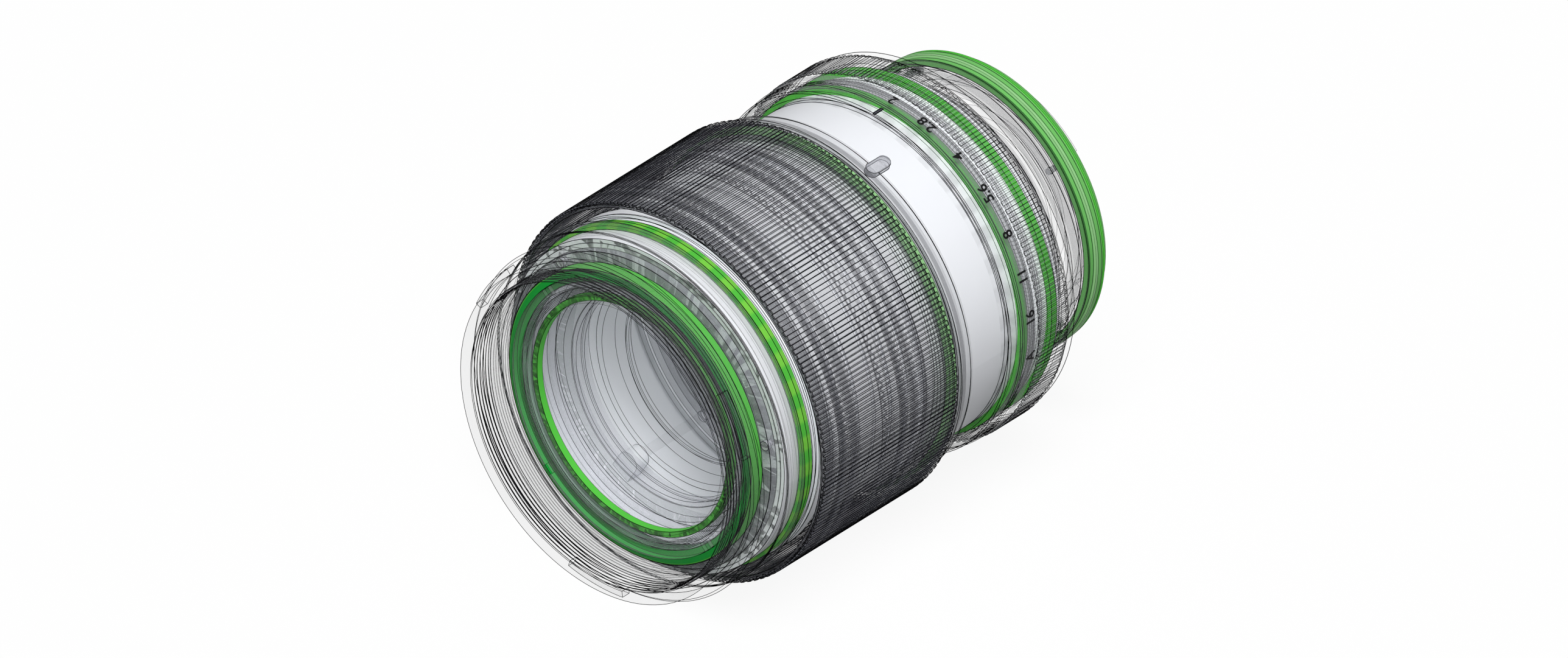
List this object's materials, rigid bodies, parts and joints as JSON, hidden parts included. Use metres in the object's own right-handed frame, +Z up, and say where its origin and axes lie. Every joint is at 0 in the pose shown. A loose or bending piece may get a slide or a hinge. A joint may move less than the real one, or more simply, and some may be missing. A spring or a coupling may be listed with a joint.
{
  "type": "short telephoto prime lens",
  "caption": "Short telephoto prime lens with a ribbed focus ring, an aperture ring with click stops, an inner focusing group, an iris, weather seals and a bayonet mount.",
  "frame": {"origin": "centre of the mount flange plane, which meets the camera, on the lens axis", "axes": "+Y along the lens axis towards the camera, so the front rim faces -Y; +Z at the index line; +X to the right seen from the front rim's side with +Z up"},
  "size_m": [0.075, 0.1097, 0.075],
  "materials": {
    "clear_shell": "satin",
    "white_shell": "satin",
    "seal_green": "satin",
    "inner_tube": "satin",
    "dark_metal": "matte",
    "lens_glass": "polished",
    "steel": "satin",
    "screw_steel": "satin",
    "blade_steel": "matte",
    "plastic_black": "matte",
    "board_green": "matte",
    "flex_amber": "satin",
    "copper_coil": "satin",
    "magnet": "satin",
    "brass": "satin"
  },
  "bodies": {
    "barrel": {"filter_ring": "clear_shell", "name_ring": "clear_shell", "front_barrel": "clear_shell", "front_cover_seal": "seal_green", "front_retaining_ring": "dark_metal", "front_element_seal": "seal_green", "front_cell": "inner_tube", "front_cell_screws": "screw_steel", "element_1": "lens_glass", "front_cell_rings": "inner_tube", "element_2": "lens_glass", "element_3": "lens_glass", "element_4": "lens_glass", "element_5_holder": "inner_tube", "element_5": "lens_glass", "main_tube": "white_shell", "focus_front_seal": "seal_green", "focus_rear_seal": "seal_green", "focus_sensor_board": "board_green", "iris_cover": "inner_tube", "iris_motor": "steel", "iris_base": "inner_tube", "guide_rods": "steel", "motor_yokes": "steel", "motor_magnets": "magnet", "rear_cell": "inner_tube", "element_8": "lens_glass", "element_9": "lens_glass", "element_10": "lens_glass", "rear_baffle": "dark_metal", "element_11": "lens_glass", "fixed_barrel": "clear_shell", "barrel_key": "steel", "aperture_seals": "seal_green", "click_spring": "screw_steel", "rear_barrel": "clear_shell", "main_board": "board_green", "flex_cable": "flex_amber", "mount_seal": "seal_green", "bayonet_mount": "steel", "mount_screws": "screw_steel", "contact_block": "plastic_black", "contact_pins": "brass"},
    "focus_control": {"focus_ring": "clear_shell", "focus_grip": "clear_shell"},
    "aperture_control": {"aperture_ring": "clear_shell"},
    "click_ball_body": {"click_ball": "screw_steel"},
    "focusing_group": {"focus_carrier": "inner_tube", "element_6": "lens_glass", "element_7": "lens_glass", "motor_coils": "copper_coil"},
    "iris_drive": {"iris_drive_ring": "dark_metal"},
    "iris_gear": {"iris_pinion": "brass"},
    "blade_1": {"iris_blade_1": "blade_steel"},
    "blade_2": {"iris_blade_2": "blade_steel"},
    "blade_3": {"iris_blade_3": "blade_steel"},
    "blade_4": {"iris_blade_4": "blade_steel"},
    "blade_5": {"iris_blade_5": "blade_steel"},
    "blade_6": {"iris_blade_6": "blade_steel"},
    "blade_7": {"iris_blade_7": "blade_steel"}
  },
  "joints": [
    {"name": "focus_ring_turn", "type": "hinge", "parent": "barrel", "child": "focus_control", "pos_m": [0, -0.067, 0], "axis": [0, -1, 0], "continuous": true},
    {"name": "aperture_ring_turn", "type": "hinge", "parent": "barrel", "child": "aperture_control", "pos_m": [0, -0.025, 0], "axis": [0, -1, 0], "range_deg": [0, 92.4]},
    {"name": "click_ball_slide", "type": "slide", "parent": "barrel", "child": "click_ball_body", "axis": [0, 0, -1], "range_m": [0, 0.0003], "stiffness_N_per_m": 500, "springref_m": 0.0006, "deforming": ["click_spring"]},
    {"name": "focus_group_slide", "type": "slide", "parent": "barrel", "child": "focusing_group", "axis": [0, 1, 0], "range_m": [0, 0.011]},
    {"name": "iris_drive_turn", "type": "hinge", "parent": "barrel", "child": "iris_drive", "pos_m": [0, -0.0596, 0], "axis": [0, 1, 0], "range_deg": [0, 5.26]},
    {"name": "iris_pinion_turn", "type": "hinge", "parent": "barrel", "child": "iris_gear", "pos_m": [0.02666, -0.0596, 0.00714], "axis": [0, 1, 0], "range_deg": [-91.54, 0]},
    {"name": "iris_blade_1_turn", "type": "hinge", "parent": "barrel", "child": "blade_1", "pos_m": [0.0204, -0.0585, 0], "axis": [0, 1, 0], "range_deg": [0, 33.79]},
    {"name": "iris_blade_2_turn", "type": "hinge", "parent": "barrel", "child": "blade_2", "pos_m": [0.01272, -0.0585, -0.01595], "axis": [0, 1, 0], "range_deg": [0, 33.79]},
    {"name": "iris_blade_3_turn", "type": "hinge", "parent": "barrel", "child": "blade_3", "pos_m": [-0.00454, -0.0585, -0.01989], "axis": [0, 1, 0], "range_deg": [0, 33.79]},
    {"name": "iris_blade_4_turn", "type": "hinge", "parent": "barrel", "child": "blade_4", "pos_m": [-0.01838, -0.0585, -0.00885], "axis": [0, 1, 0], "range_deg": [0, 33.79]},
    {"name": "iris_blade_5_turn", "type": "hinge", "parent": "barrel", "child": "blade_5", "pos_m": [-0.01838, -0.0585, 0.00885], "axis": [0, 1, 0], "range_deg": [0, 33.79]},
    {"name": "iris_blade_6_turn", "type": "hinge", "parent": "barrel", "child": "blade_6", "pos_m": [-0.00454, -0.0585, 0.01989], "axis": [0, 1, 0], "range_deg": [0, 33.79]},
    {"name": "iris_blade_7_turn", "type": "hinge", "parent": "barrel", "child": "blade_7", "pos_m": [0.01272, -0.0585, 0.01595], "axis": [0, 1, 0], "range_deg": [0, 33.79]}
  ],
  "couplings": [
    {"joint": "iris_pinion_turn", "follows": "iris_drive_turn", "ratio": -17.4},
    {"joint": "iris_blade_1_turn", "follows": "iris_drive_turn", "ratio": 6.4223},
    {"joint": "iris_blade_2_turn", "follows": "iris_drive_turn", "ratio": 6.4223},
    {"joint": "iris_blade_3_turn", "follows": "iris_drive_turn", "ratio": 6.4223},
    {"joint": "iris_blade_4_turn", "follows": "iris_drive_turn", "ratio": 6.4223},
    {"joint": "iris_blade_5_turn", "follows": "iris_drive_turn", "ratio": 6.4223},
    {"joint": "iris_blade_6_turn", "follows": "iris_drive_turn", "ratio": 6.4223},
    {"joint": "iris_blade_7_turn", "follows": "iris_drive_turn", "ratio": 6.4223}
  ]
}
